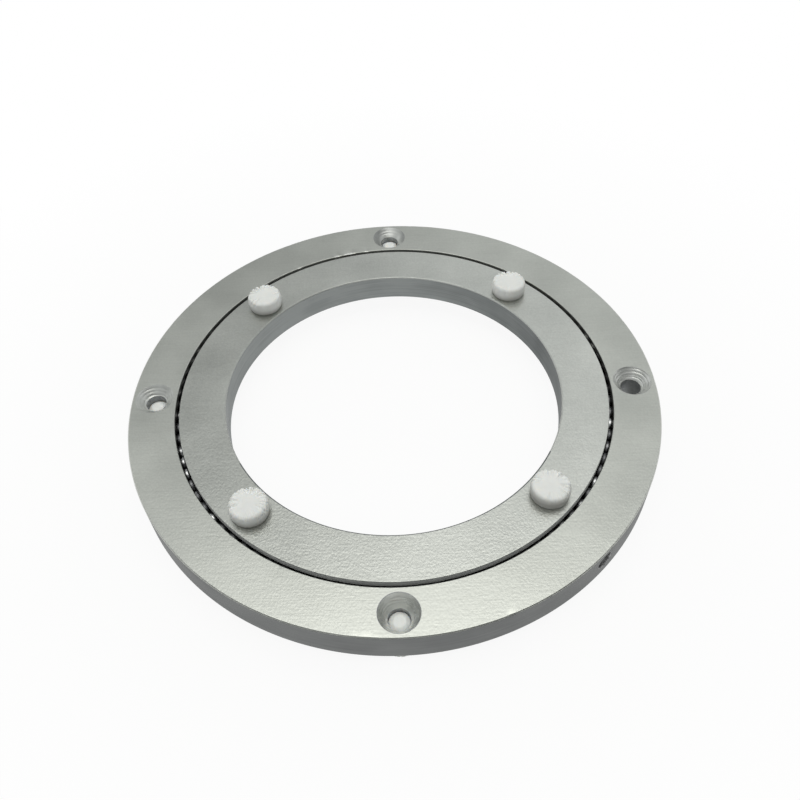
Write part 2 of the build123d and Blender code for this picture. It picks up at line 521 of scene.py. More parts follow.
def makePiece(name, patches, materials, body, nodes, sharpAngle=meshing["sharpAngle"]):
    # Joins patches of (points, quads, material number), welds their borders and turns faces outwards
    starts = np.cumsum([0] + [len(points) for points, _, _ in patches[:-1]])
    points = np.concatenate([points for points, _, _ in patches]) * mm
    quads = np.concatenate([quads + start for (_, quads, _), start in zip(patches, starts)])
    slots = np.concatenate([np.full(len(quads), number) for _, quads, number in patches])
    mesh = bpy.data.meshes.new(name)
    mesh.from_pydata(points.tolist(), [], quads.tolist())
    for material in materials:
        mesh.materials.append(material)
    mesh.polygons.foreach_set("material_index", slots.astype(np.int32))
    work = bmesh.new()
    work.from_mesh(mesh)
    bmesh.ops.remove_doubles(work, verts=work.verts, dist=meshing["weld"])
    loose = [vertex for vertex in work.verts if not vertex.link_faces]
    bmesh.ops.delete(work, geom=loose, context="VERTS")
    bmesh.ops.recalc_face_normals(work, faces=work.faces)
    work.to_mesh(mesh)
    openEdges = sum(1 for edge in work.edges if not edge.is_manifold)
    work.free()
    mesh.polygons.foreach_set("use_smooth", np.ones(len(mesh.polygons), bool))
    mesh.set_sharp_from_angle(angle=math.radians(sharpAngle))
    piece = bpy.data.objects.new(name, mesh)
    bpy.context.scene.collection.objects.link(piece)
    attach(piece, body)
    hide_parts(*nodes)
    print(name, len(mesh.polygons), "faces, open edges:", openEdges)
    return piece


def roundedPath(corners, radii, steps):
    # A polyline with each inner corner rounded by an arc: the arc starts radius / tan(half angle) before
    # the corner, and its points turn evenly about a centre radius / sin(half angle) along the bisector
    path = [np.array(corners[0], float)]
    for before, corner, after, radius in zip(corners, corners[1:], corners[2:], radii):
        before, corner, after = np.array([before, corner, after], float)
        inward = (before - corner) / np.linalg.norm(before - corner)
        onward = (after - corner) / np.linalg.norm(after - corner)
        half = math.acos(np.clip(inward @ onward, -1, 1)) / 2
        bisector = (inward + onward) / np.linalg.norm(inward + onward)
        centre = corner + bisector * radius / math.sin(half)
        start = corner + inward * radius / math.tan(half) - centre
        end = corner + onward * radius / math.tan(half) - centre
        sweep = math.pi - 2 * half
        share = np.linspace(0, 1, steps + 1)[:, None]
        arc = (np.sin((1 - share) * sweep) * start + np.sin(share * sweep) * end) / math.sin(sweep)
        path.extend(centre + arc)
    path.append(np.array(corners[-1], float))
    return np.array(path)


def splitStretches(path, longest, support):
    # Adds points along each stretch longer than longest, with one support point close to either end
    made = [path[:1]]
    for start, end in zip(path, path[1:]):
        length = np.linalg.norm(end - start)
        if length > longest:
            inner = np.linspace(0, length, int(math.ceil(length / longest)) + 1)[1:-1]
            places = np.concatenate([[support], inner, [length - support]]) / length
            made.append(start + places[:, None] * (end - start))
        made.append(end[None])
    return np.concatenate(made)


def wrapped(angle):
    # The same angle between half a turn back and half a turn on
    return np.angle(np.exp(1j * angle))


def holeSeat(angle, radius=None, height=None):
    # Axes of a hole: its origin, its first and second cross axes and the axis that points out of it
    out = np.array([math.cos(math.radians(angle)), math.sin(math.radians(angle)), 0.0])
    across = np.array([-out[1], out[0], 0.0])
    up = np.array([0.0, 0.0, 1.0])
    if height is None:
        return {"origin": out * radius, "first": out, "second": across, "out": up}
    return {"origin": up * height, "first": across, "second": up, "out": out}


def seatPoints(seat, a, b, level):
    # Point = origin + a along the first axis + b along the second + level along the hole's own axis
    a, b, level = np.broadcast_arrays(a, b, level)
    return (
        seat["origin"]
        + a[..., None] * seat["first"]
        + b[..., None] * seat["second"]
        + level[..., None] * seat["out"]
    )


def blockBorder(points, block):
    # Border loop of a block of grid cells, once round: along the first row, up, back and down
    (i0, i1), (j0, j1) = block
    on, back = np.arange(i0, i1), np.arange(i1, i0, -1)
    up, down = np.arange(j0, j1), np.arange(j1, j0, -1)
    i = np.concatenate([on, np.full(len(up), i1), back, np.full(len(down), i0)])
    j = np.concatenate([np.full(len(on), j0), up, np.full(len(back), j1), down])
    return points[i % len(points), j]


def patchAround(border, seat, rimRadius, levelAt):
    # Surface between a ring's border loop and a hole's rim: straight lines run from each border point
    # to the rim point in the same direction from the hole's centre, and levelAt lifts them to the surface
    offset = border - seat["origin"]
    a, b = offset @ seat["first"], offset @ seat["second"]
    angles = np.arctan2(b, a)
    share = np.linspace(0, 1, meshing["patchRows"] + 1)[:, None] ** meshing["patchPower"]
    gridA = a + share * (rimRadius * np.cos(angles) - a)
    gridB = b + share * (rimRadius * np.sin(angles) - b)
    points = seatPoints(seat, gridA, gridB, levelAt(gridA, gridB))
    points[0] = border
    return points, angles


def sameWayRound(border, seat, angles):
    # Renumbers a loop of points so that it starts at the first of the given angles and runs their way
    offset = border - seat["origin"]
    own = np.arctan2(offset @ seat["second"], offset @ seat["first"])
    start = int(np.argmin(abs(wrapped(own - angles[0]))))
    ownStep = wrapped(own[(start + 1) % len(own)] - own[start])
    step = 1 if ownStep * wrapped(angles[1] - angles[0]) > 0 else -1
    return border[(start + step * np.arange(len(own))) % len(own)]


def loopGrid(grid, slot):
    # Patch of a grid of points whose columns run once round
    return grid.reshape(-1, 3), gridQuads(*grid.shape[:2], False, True), slot


def drillThrough(points, seat, mouth, far, wallAt, slots):
    # Both faces' patches round a hole and the wall between them. Mouth and far give the block of cells
    # that the patch takes, its rim's radius, the face's level over the cross axes and its material. The
    # wall goes from one of the materials in slots to the next at each row that wallAt names
    mouthGrid, angles = patchAround(blockBorder(points, mouth["block"]), seat, mouth["rim"], mouth["level"])
    border = sameWayRound(blockBorder(points, far["block"]), seat, angles)
    farGrid, farAngles = patchAround(border, seat, far["rim"], far["level"])
    wallGrid, rows = wallAt(angles, wrapped(farAngles - angles))
    ends = [0, *rows, len(wallGrid) - 1]
    bands = [loopGrid(wallGrid[start : end + 1], slot) for start, end, slot in zip(ends, ends[1:], slots)]
    return [loopGrid(mouthGrid, mouth["slot"]), loopGrid(farGrid, far["slot"]), *bands]


def ringShell(profile, turn, count, blocks, slotOf, shift=None):
    # A closed profile (r, z) carried round the axis: point = (r cos t, r sin t, z). Blocks of cells are
    # left out, to be filled by hole patches. Shift moves points by (dr, dz) as a function of t and profile
    t = np.radians(turn) + np.arange(count) * fullTurn / count
    r = np.broadcast_to(profile[:, 0], (count, len(profile))).copy()
    z = np.broadcast_to(profile[:, 1], (count, len(profile))).copy()
    if shift is not None:
        dr, dz = shift(t[:, None], profile)
        r, z = r + dr, z + dz
    points = np.stack([r * np.cos(t)[:, None], r * np.sin(t)[:, None], z], -1)
    keep = np.ones((count, len(profile)), bool)
    for (i0, i1), (j0, j1) in blocks:
        keep[np.arange(i0, i1)[:, None] % count, np.arange(j0, j1)[None, :]] = False
    quads = gridQuads(count, len(profile), True, True)[keep.ravel()]
    slots = np.broadcast_to(slotOf, (count, len(profile)))[keep]
    patches = [(points.reshape(-1, 3), quads[slots == s], s) for s in np.unique(slots)]
    return points, patches


def rowsAt(profile, axis, value, low, high):
    # First and last profile points where one coordinate has a value and the other is in a range
    other = profile[:, 1 - axis]
    onLine = abs(profile[:, axis] - value) < meshing["same"]
    hits = np.flatnonzero(onLine & (other > low) & (other < high))
    return hits.min(), hits.max()


# Screw holes

screwHole = {
    "countersink": (4.3, 82.0, 0.02),  # its radius, its angle in degrees and the rounding of its rim
    "farLip": 0.02,
    "edge": 0.08,  # rounding where the cone meets the bore
    "rimMargin": 0.3,  # from the rim to where the ring's own grid takes over
    "roundSteps": 3,
    "coneRow": 0.085,  # spacing of points down the cone, fine enough for the cutter's marks
    "boreRow": 0.7,  # and down the bore
    # How unevenly the cutter's marks run round: in place, and in depth by three and seven waves
    "wander": 0.04,
    "waves": (0.3, 0.2),
}


def screwHoleWall(seat, angles, farTurn, mouth, far, sink, marks, seed):
    # Wall of a countersunk hole from one face to the other. Radius = the rounded path's radius, plus
    # ring marks, each a bell curve of the depth whose place drifts with the angle as a thread's would
    size = screwHole
    sign = math.copysign(1, mouth - far)
    mouthRadius, coneAngle, lip = sink
    coneDepth = (mouthRadius - holeRadius) / math.tan(math.radians(coneAngle / 2))
    corners = [
        (mouthRadius + size["rimMargin"], mouth),
        (mouthRadius, mouth),
        (holeRadius, mouth - sign * coneDepth),
        (holeRadius, far),
        (holeRadius + size["rimMargin"], far),
    ]
    steps = size["roundSteps"]
    coneEnd = 2 * (steps + 1)  # points of the mouth, the cone and the roundings at its ends
    path = roundedPath(corners, [lip, size["edge"], size["farLip"]], steps)
    cone = splitStretches(path[:coneEnd], size["coneRow"], size["coneRow"] / 3)
    down = splitStretches(path[coneEnd - 1 :], size["boreRow"], size["coneRow"])
    path = np.concatenate([cone[:-1], down])
    depth = sign * (mouth - path[:, 1:])
    mouthRow = np.flatnonzero(depth < meshing["same"]).max()
    farRow = np.flatnonzero(abs(path[:, 1] - far) < meshing["same"]).min()
    rows = (mouthRow, mouthRow + steps, len(cone) - 1, farRow)
    boreShare = np.clip((depth - coneDepth) / (abs(mouth - far) - coneDepth), 0, 1)
    angles = angles + boreShare * farTurn
    chance = np.random.default_rng(seed)
    phase = chance.uniform(0, fullTurn, 3)
    radius = np.broadcast_to(path[:, :1], angles.shape).copy()
    coarse, fine = size["waves"]
    uneven = 1 + coarse * np.sin(3 * angles + phase[1]) + fine * np.sin(7 * angles + phase[2])
    for place, deep, width, drift in marks:
        wander = place + drift * np.sin(angles / 2) ** 2 + size["wander"] * np.sin(2 * angles + phase[0])
        bell = np.exp(-(((depth - wander) / width) ** 2))
        radius += deep * uneven * bell * np.clip(depth / width, 0, 1)
    return seatPoints(seat, radius * np.cos(angles), radius * np.sin(angles), path[:, 1:]), rows


# Rings

ringFinish = {
    "around": 960,  # points round each ring
    "chamfer": 0.25,
    "outerGapCut": 0.1,  # chamfers at the gap
    "innerGapCut": 0.09,
    "boreFlat": 0.3,  # from the bore to where the top face is flat
    "cornerRound": 0.07,
    "grooveRound": 0.1,  # at the bottom of the race's V
    "faceRow": 1.3,  # spacing of points across the faces and walls
    "support": 0.05,  # from a rounded corner to the row that keeps the face beside it flat
    "underCut": 0.1,  # from the gap to where the bottom face's holes may start
    "holeHalf": 14,  # cells to either side of a hole's centre that its patch takes
    "innerHoleHalf": 18,
    "flatReach": 0.16,  # stretches nearer than this to a face's level are sanded with it
    "raceReach": 0.01,  # beyond the bottom of the race's V, what still counts as the gap's side
}
# Numbers of the materials in a ring's list. The fifth is the filling hole's thread on the outer ring and
# the gap's wall on the inner one
onFace, onWall, onCone, onRace, onThread, onHole, onChipGlint = range(7)
onGapWall = onThread


def ringSection(corners, rounds):
    # A ring's closed cross-section and the middle of each stretch to its next point
    path = roundedPath(corners, rounds, steps=2)
    profile = splitStretches(path, ringFinish["faceRow"], ringFinish["support"])[:-1]
    return profile, (profile + np.roll(profile, -1, 0)) / 2


def onLevel(middle, *levels):
    # Which stretches of a cross-section lie close to one of the levels
    return np.any([abs(middle[:, 1] - level) < ringFinish["flatReach"] for level in levels], axis=0)


def holePlaces(angles, turn, half, circle, topRows, bottomRows):
    # The blocks of cells that the screw holes take on a ring's top and bottom, and the holes' seats
    spans, seats = [], []
    for angle in angles:
        centre = round(angle / 360 * ringFinish["around"])
        columns = (centre - half, centre + half)
        spans.append(((columns, topRows), (columns, bottomRows)))
        seats.append(holeSeat(angle + turn, radius=circle))
    return spans, seats


def screwHolePatches(points, seat, spans, top, bottom, mouth, sink, marks, seed):
    # One countersunk hole between a ring's two flat faces: spans are its blocks on the top and the bottom
    def face(level):
        isMouth = level == mouth
        rim = sink[0] if isMouth else holeRadius
        return {
            "block": spans[0] if level == top else spans[1],
            "rim": rim + screwHole["rimMargin"],
            "level": lambda a, b: np.full_like(a, level),
            "slot": onFace,
        }

    far = bottom if mouth == top else top
    return drillThrough(
        points, seat, face(mouth), face(far),
        lambda angles, farTurn: screwHoleWall(seat, angles, farTurn, mouth, far, sink, marks, seed),
        (onFace, onHole, onCone, onHole, onFace),
    )


# Dents and chips of the outer ring's edges: how many lie anywhere, how deep the deepest are, and where
# those lie, each with its angle and half width in degrees
rimDents = {
    "seed": 5,
    "count": 40,
    "deepest": 0.09,
    "places": [(-98.0, 0.3), (-97.0, 0.2), (-96.2, 0.3), (-95.6, 0.2), (-94.9, 0.3), (-94.2, 0.2)],
}
gapChips = {
    "seed": 6,
    "count": 8,
    "deepest": 0.24,  # across the top face
    "places": [(106.3, 0.6), (103.3, 0.7), (102.5, 0.9), (101.7, 0.6), (97.2, 0.4)],
    "reach": (0.7, 0.08),  # how far they reach along the top face and down the gap's wall
    "drop": 0.3,  # share of their width that they lie below the top face
    "bareFrom": 0.14,  # chips wider than this show bare metal, partly a painted glint
}
# Those that lie anywhere: the root of their depth, as a share of the deepest, and their half width
anywhere = {"root": (0.2, 1.0), "halfWidth": (0.12, 0.4)}


def edgeNicks(nicks):
    # Small nicks along an edge: depth = sum of bell curves of the angle round the ring
    chance = np.random.default_rng(nicks["seed"])
    count, deepest = nicks["count"], nicks["deepest"]
    known, wide = np.radians(nicks["places"]).T
    centres = np.concatenate([chance.uniform(0, fullTurn, count), known])
    small = deepest * chance.uniform(*anywhere["root"], count) ** 2
    depths = np.concatenate([small, np.full(len(known), deepest)])
    widths = np.concatenate([np.radians(chance.uniform(*anywhere["halfWidth"], count)), wide])

    def depthAt(t):
        away = wrapped(t - centres)
        return (depths * np.exp(-((away / widths) ** 2))).sum(-1, keepdims=True)

    return depthAt


outerRingLook = {
    # Countersinks by their angle round the ring: radius at the mouth, angle of the cone and rounding of
    # the mouth's edge
    "sinks": {
        0.0: (4.3, 82.0, 0.02),
        90.0: (4.3, 98.0, 0.02),
        180.0: (4.3, 98.0, 0.02),
        270.0: (4.15, 62.0, 0.14),
    },
    # Cutter's marks down each countersink: depth, how deep, width and how much they sink across the hole
    "marks": {
        0.0: [(0.3, 0.09, 0.09, 0.2), (0.85, 0.12, 0.1, 0.2), (1.4, 0.05, 0.07, 0.2), (1.8, 0.1, 0.08, 0.2)],
        90.0: [(0.5, 0.03, 0.14, 0.3), (1.0, 0.04, 0.12, 0.2)],
        180.0: [(0.4, 0.04, 0.12, 0.2), (0.9, 0.04, 0.12, 0.2), (1.5, 0.09, 0.12, 0.1)],
        270.0: [(0.6, 0.04, 0.11, 0.3), (1.2, 0.05, 0.11, 0.3), (1.8, 0.04, 0.11, 0.3)],
    },
    "seed": 1,
}

# Filling hole for the balls in the outer ring's rim, threaded, with the set screw that closes it
fillHole = {
    "angle": -47.0,
    "radius": 2.0,
    "chamfer": 0.16,
    "margin": 0.1,  # from the chamfer to where the rim's own grid takes over
    "half": 8,  # cells to either side of its centre, on the race's side
    "pitch": 0.7,
    "threadDepth": 0.18,
    "threadStart": (0.45, 0.3),  # how deep in the thread starts, and the length over which it comes in
    "threadEnd": (1.5, 0.5),  # the same from the inner end
    "rounding": 0.05,
    "row": 0.12,
    "gateRise": 0.5,  # from the top of the race to the row that its block starts at
    "wallBelow": 0.2,  # least wall between the hole and its block's last row
}


def outerGapLevel(a, b):
    # Wall that faces the inner ring, seen along the filling hole: the gap's wall, deeper in the race's V
    reach = gapOutside + np.clip(grooveHalf - abs(b), 0, None)
    return np.sqrt(reach**2 - a**2)


def rimLevel(a, b):
    # The rim seen along the filling hole: a cylinder round the axis
    return np.sqrt(outerRadius**2 - a**2) + 0 * b


def fillHoleWall(seat, angles, farTurn):
    # From the rim to the race: a chamfered lip, then a thread whose radius follows a cosine of the depth
    # that turns once round for each pitch. The level goes over from the rim's shape to the race's shape
    size = fillHole
    length = outerRadius - raceRadius - grooveReach
    corners = [
        (size["radius"] + size["chamfer"] + size["margin"], 0.0),
        (size["radius"] + size["chamfer"], 0.0),
        (size["radius"], size["chamfer"]),
        (size["radius"], length),
    ]
    path = roundedPath(corners, [size["rounding"]] * 2, steps=3)
    path = splitStretches(path, size["row"], size["row"] / 3)
    depth = path[:, 1:]
    share = np.clip((depth - size["chamfer"]) / (length - size["chamfer"]), 0, 1)
    angles = angles + share * farTurn
    thread = 0.5 - 0.5 * np.cos(fullTurn * depth / size["pitch"] - angles)
    start, comesIn = size["threadStart"]
    end, goesOut = size["threadEnd"]
    threaded = np.clip((depth - start) / comesIn, 0, 1) * np.clip((length - end - depth) / goesOut, 0, 1)
    radius = path[:, :1] + size["threadDepth"] * thread * threaded
    a, b = radius * np.cos(angles), radius * np.sin(angles)
    level = (1 - share) * (rimLevel(a, b) - depth) + share * outerGapLevel(a, b)
    lipRow = int(np.argmax(depth[:, 0] > 0)) - 1
    return seatPoints(seat, a, b, level), (lipRow,)


def outerRing():
    # Cross-section corners from the gap wall down through the race, along the bottom, up the rim and back
    cut, small = ringFinish["chamfer"], ringFinish["cornerRound"]
    gapCut = ringFinish["outerGapCut"]
    gate = ballPlane + grooveHalf + fillHole["gateRise"]
    corners = [
        (gapOutside, gate),
        (gapOutside, ballPlane + grooveHalf),
        (raceRadius + grooveReach, ballPlane),
        (gapOutside, ballPlane - grooveHalf),
        (gapOutside, outerBottom),
        (outerRadius - cut, outerBottom),
        (outerRadius, outerBottom + cut),
        (outerRadius, outerTop - cut),
        (outerRadius - cut, outerTop),
        (gapOutside + gapCut, outerTop),
        (gapOutside, outerTop - gapCut),
        (gapOutside, gate),
    ]
    profile, middle = ringSection(corners, [small, ringFinish["grooveRound"]] + [small] * 8)
    face = onLevel(middle, outerTop, outerBottom)
    face |= (middle[:, 1] > outerTop - cut) & (middle[:, 0] < raceRadius + grooveReach)
    gapSide = middle[:, 0] < raceRadius + grooveReach + ringFinish["raceReach"]
    slotOf = np.where(face, onFace, np.where(gapSide, onRace, onWall))
    flat, gapFlat = cut + ringFinish["support"], gapCut + ringFinish["support"]
    topRows = rowsAt(profile, 1, outerTop, gapOutside + gapFlat, outerRadius - flat)
    underRows = rowsAt(profile, 1, outerBottom, gapOutside + ringFinish["underCut"], outerRadius - flat)
    angles, half = outerRingLook["sinks"], ringFinish["holeHalf"]
    spans, seats = holePlaces(angles, 0.0, half, outerHoleCircle, topRows, underRows)

    # The filling hole's two blocks need borders of the same length, so the rim's block is the wider one
    rimRows = rowsAt(profile, 0, outerRadius, outerBottom + flat, outerTop - flat)
    lowest = ballPlane - fillHole["radius"] - fillHole["wallBelow"]
    below = np.flatnonzero((profile[:, 1] < lowest) & gapSide)[0]
    spare = below - (rimRows[1] - rimRows[0])
    gapRows = (0, int(below + spare % 2))
    rimHalf = fillHole["half"] + (gapRows[1] - rimRows[1] + rimRows[0]) // 2
    count = ringFinish["around"]
    centre = round(fillHole["angle"] / 360 * count)
    rimBlock = ((centre - rimHalf, centre + rimHalf), rimRows)
    gapBlock = ((centre - fillHole["half"], centre + fillHole["half"]), gapRows)
    dents, chips = edgeNicks(rimDents), edgeNicks(gapChips)

    def dentEdges(t, profile):
        # Dents move the top face's outer corner down and inwards, chips its inner one down and outwards
        def near(radius, reach):
            across = (profile[:, 0] - radius) / reach[0]
            down = (profile[:, 1] - outerTop) / reach[1]
            return np.exp(-(across**2) - down**2)

        dent = dents(t) * near(outerRadius, (cut, cut))
        chip = chips(t) * near(gapOutside + gapCut, gapChips["reach"])
        return chip - dent, -gapChips["drop"] * chip - dent

    blocks = [block for pair in spans for block in pair] + [rimBlock, gapBlock]
    t = np.arange(count)[:, None] * fullTurn / count
    edge = (middle[:, 1] > outerTop - gapCut - small) & (middle[:, 0] < gapOutside + gapCut + small)
    # Wide chips take the bare metal finish, partly a painted glint
    slotOf = np.where((chips(t) > gapChips["bareFrom"]) & edge, onChipGlint, slotOf)
    points, patches = ringShell(profile, 0.0, count, blocks, slotOf, dentEdges)
    for angle, seat, pair in zip(angles, seats, spans):
        patches += screwHolePatches(
            points, seat, pair, outerTop, outerBottom, outerTop,
            outerRingLook["sinks"][angle], outerRingLook["marks"][angle], outerRingLook["seed"] + int(angle),
        )
    seat = holeSeat(fillHole["angle"], height=ballPlane)
    lip = {
        "block": rimBlock,
        "rim": fillHole["radius"] + fillHole["chamfer"] + fillHole["margin"],
        "level": rimLevel,
        "slot": onWall,
    }
    end = {"block": gapBlock, "rim": fillHole["radius"], "level": outerGapLevel, "slot": onRace}
    patches += drillThrough(
        points, seat, lip, end,
        lambda angles, farTurn: fillHoleWall(seat, angles, farTurn),
        (onWall, onThread),
    )
    materials = [outerFace, rimWall, countersunkCone, oilAndShadeRace, tappedThread, drilledHole, chipGlintEdge]
    return makePiece("outerRing", patches, materials, "base", ["outer_ring"])


innerRingLook = {
    "stainedBelow": -0.5,  # sine of the angle round the ring below which the bore's top edge gets a painted shade
    "marks": [(0.8, 0.03, 0.12, 0.2), (1.6, 0.03, 0.12, 0.2)],  # as the outer ring's
    "seed": 20,
}


def innerRing():
    # The same cross-section turned round: its bore is the plain wall and its outer wall has the race
    cut, small = ringFinish["chamfer"], ringFinish["cornerRound"]
    gapCut = ringFinish["innerGapCut"]
    corners = [
        (boreRadius, ballPlane),
        (boreRadius, innerTop - cut),
        (boreRadius + cut, innerTop),
        (gapInside - gapCut, innerTop),
        (gapInside, innerTop - gapCut),
        (gapInside, ballPlane + grooveHalf),
        (raceRadius - grooveReach, ballPlane),
        (gapInside, ballPlane - grooveHalf),
        (gapInside, innerBottom),
        (boreRadius + cut, innerBottom),
        (boreRadius, innerBottom + cut),
        (boreRadius, ballPlane),
    ]
    profile, middle = ringSection(corners, [small] * 5 + [ringFinish["grooveRound"]] + [small] * 4)
    face = onLevel(middle, innerTop, innerBottom) | (middle[:, 1] > innerTop - cut)
    gapSide = middle[:, 0] > raceRadius - grooveReach - ringFinish["raceReach"]
    inGap = gapSide & (middle[:, 1] > ballPlane + grooveHalf)
    slotOf = np.where(face, onFace, np.where(inGap, onGapWall, np.where(gapSide, onRace, onWall)))
    flat, gapFlat = cut + ringFinish["support"], gapCut + ringFinish["support"]
    topRows = rowsAt(profile, 1, innerTop, boreRadius + ringFinish["boreFlat"], gapInside - gapFlat)
    underRows = rowsAt(profile, 1, innerBottom, boreRadius + flat, gapInside - ringFinish["underCut"])
    angles, half = firstPad + np.arange(holeCount) * 360 / holeCount, ringFinish["innerHoleHalf"]
    spans, seats = holePlaces(angles, innerTurn, half, innerHoleCircle, topRows, underRows)
    blocks = [block for pair in spans for block in pair]
    count = ringFinish["around"]
    # The bore's top edge takes the bore wall's darker colour along the front, as a painted shade
    edge = (middle[:, 1] > innerTop - cut - small) & (middle[:, 0] < boreRadius + cut + small)
    t = np.radians(innerTurn) + np.arange(count)[:, None] * fullTurn / count
    slotOf = np.where((np.sin(t) < innerRingLook["stainedBelow"]) & edge, onWall, slotOf)
    points, patches = ringShell(profile, innerTurn, count, blocks, slotOf)
    for number, (seat, pair) in enumerate(zip(seats, spans)):
        patches += screwHolePatches(
            points, seat, pair, innerTop, innerBottom, innerBottom,
            screwHole["countersink"], innerRingLook["marks"], innerRingLook["seed"] + number,
        )
    materials = [innerFace, boreWall, countersunkCone, oilAndShadeRace, gapWall, drilledHole]
    return makePiece("innerRing", patches, materials, "turntable", ["inner_ring"])


outerRing()
innerRing()
print("rings made")


# Set screw

setScrew = {
    "recess": 3.0,  # from the rim to its outer end
    "radius": 1.98,
    "length": 6.06,
    "chamfer": 0.35,
    "acrossFlats": 2.0,
    "socketDepth": 2.2,
    "drillPoint": 0.35,  # cone at the bottom of the socket
    "drillShare": 0.98,  # its radius, as a share of half the distance across the flats
    "mouthDepth": 0.12,  # bevel round the socket's mouth
    "mouthCut": 0.1,
    "endFace": 0.35,  # from the socket's flat to where the round end face starts
    "rounding": 0.04,
    "shankReach": 0.02,  # within this of the full radius the thread comes in
    "around": 96,
    "row": 0.12,
    "socketRow": 0.3,
    "socketSupport": 0.03,
}


def fillPlug():
    # Turned about the filling hole's axis. A row's radius is a circle's, or a hexagon's for the socket:
    # apothem / cos(angle from the middle of the nearest flat). The thread cuts a cosine groove into it
    size = setScrew
    flatHalf = size["acrossFlats"] / 2
    socket = [
        (0.0, size["socketDepth"] + size["drillPoint"]),
        (flatHalf * size["drillShare"], size["socketDepth"]),
        (flatHalf, size["socketDepth"]),
        (flatHalf, size["mouthDepth"]),
        (flatHalf + size["mouthCut"], 0.0),
    ]
    outside = [
        (flatHalf + size["endFace"], 0.0),
        (size["radius"] - size["chamfer"], 0.0),
        (size["radius"], size["chamfer"]),
        (size["radius"], size["length"] - size["chamfer"]),
        (size["radius"] - size["chamfer"], size["length"]),
        (0.0, size["length"]),
    ]
    inner = splitStretches(np.array(socket), size["socketRow"], size["socketSupport"])
    outer = roundedPath(outside, [size["rounding"]] * 4, steps=2)
    outer = splitStretches(outer, size["row"], size["row"] / 3)
    path = np.concatenate([inner, outer])
    hexShare = np.concatenate([np.ones(len(inner)), np.zeros(len(outer))])[:, None]
    angles = np.arange(size["around"]) * fullTurn / size["around"]
    fromFlat = (angles % (fullTurn / 6)) - fullTurn / 12
    depth = path[:, 1:]
    thread = 0.5 + 0.5 * np.cos(fullTurn * depth / fillHole["pitch"] - angles)
    reach = size["shankReach"]
    onShank = np.clip((path[:, :1] - size["radius"] + reach) / reach, 0, 1)
    radius = path[:, :1] * (1 + hexShare * (1 / np.cos(fromFlat) - 1))
    radius = radius - fillHole["threadDepth"] * thread * onShank
    seat = holeSeat(fillHole["angle"], height=ballPlane)
    level = outerRadius - size["recess"] - depth
    points = seatPoints(seat, radius * np.cos(angles), radius * np.sin(angles), level)
    return makePiece("fillPlug", [loopGrid(points, 0)], [screwSteel], "base", ["fill_plug"])


fillPlug()
print("set screw made")


# Balls

ballGrid = {"around": 20, "rows": 11, "sharpAngle": 80.0}


def ballRow():
    # Each ball is a sphere: (sin p cos q, sin p sin q, cos p) times its radius, round a centre on the
    # ball circle
    radius = race["ballDiameter"] / 2
    number = int(fullTurn * raceRadius / (race["ballDiameter"] + race["ballPlay"]))
    p = np.linspace(0, math.pi, ballGrid["rows"])[:, None]
    q = (np.arange(ballGrid["around"]) * fullTurn / ballGrid["around"])[None, :]
    one = np.stack([np.sin(p) * np.cos(q), np.sin(p) * np.sin(q), np.cos(p) + 0 * q], -1) * radius
    t = np.arange(number) * fullTurn / number
    centres = np.stack([raceRadius * np.cos(t), raceRadius * np.sin(t), np.full(number, ballPlane)], -1)
    points = centres[:, None, None, :] + one
    quads = gridQuads(ballGrid["rows"], ballGrid["around"], False, True)
    starts = np.arange(number)[:, None, None] * one[..., 0].size
    patches = [(points.reshape(-1, 3), (quads + starts).reshape(-1, 4), 0)]
    return makePiece(
        "ballRow", patches, [ballSteel], "ball_row", ["bearing_balls"], ballGrid["sharpAngle"]
    )


ballRow()
print("balls made")


# Silicone pads and feet

button = {
    "radius": 4.2,  # at the widest belt
    "beltHeight": 1.9,
    "waist": 0.25,
    "shoulder": 0.8,  # rounding of the rim
    "foot": 0.25,  # rounding where the head meets the ring
    "stemRadius": 2.27,
    "dome": 0.8,
    "petals": 24,
    "notchDepth": 0.42,
    "notchWidth": 0.23,
    "notchStart": 1.5,  # the notches run from here out over the rim, deepening over their run
    "notchRun": 1.7,
    "notchEnd": 0.8,  # how far down the wall they fade out
    "shallowShare": 0.2,  # depth of the notches on the side away from the deep ones
    "petalDepth": (0.3, 1.4),  # least depth of a notch, and how much chance adds to it
    "petalDrift": 0.04,  # how unevenly they stand, in radians
    "axisRoom": 0.5,  # nearer to the axis than this a notch is no narrower in degrees
    "crownShare": 0.35,  # of the crown's height that is gone where the notches start
    "crownRound": 3.0,
    "beltRound": 5.0,
    "seatRound": 0.1,
    "domeRound": 0.7,
    "domeShare": 0.55,  # of the stem's radius where the flat of its tip starts
    "tipDrop": 0.1,
    "tipRound": 0.9,
    "roundSteps": 6,
    "around": 288,
    "row": 0.33,
    "support": 0.08,
    "sharpAngle": 60.0,
    "seed": {"turntable": 40, "base": 50},
}
# Each pad's own shape: how much its middle stands above the shoulder, towards which side, in degrees
# from +X, its notches are deep, how long its stem is, and the angles and depths of its deepest notches
padShapes = {
    "pad_back_right": (0.22, 125, 4.7, [(97, 1.5), (118, 0.8)]),
    "pad_back_left": (0.18, 130, 4.7, [(114, 1.5), (135, 1.4), (152, 0.8)]),
    "pad_front_left": (0.22, 100, 4.7, [(95, 0.9), (195, 0.8)]),
    "pad_front_right": (0.42, 60, 4.7, [(85, 0.8), (40, 0.8)]),
}
# The feet's stems reach up to different heights in their holes
footShapes = {
    "foot_back": (0.22, 90, 5.5, []),
    "foot_left": (0.22, 90, 5.2, []),
    "foot_front": (0.22, 90, 4.45, []),
}


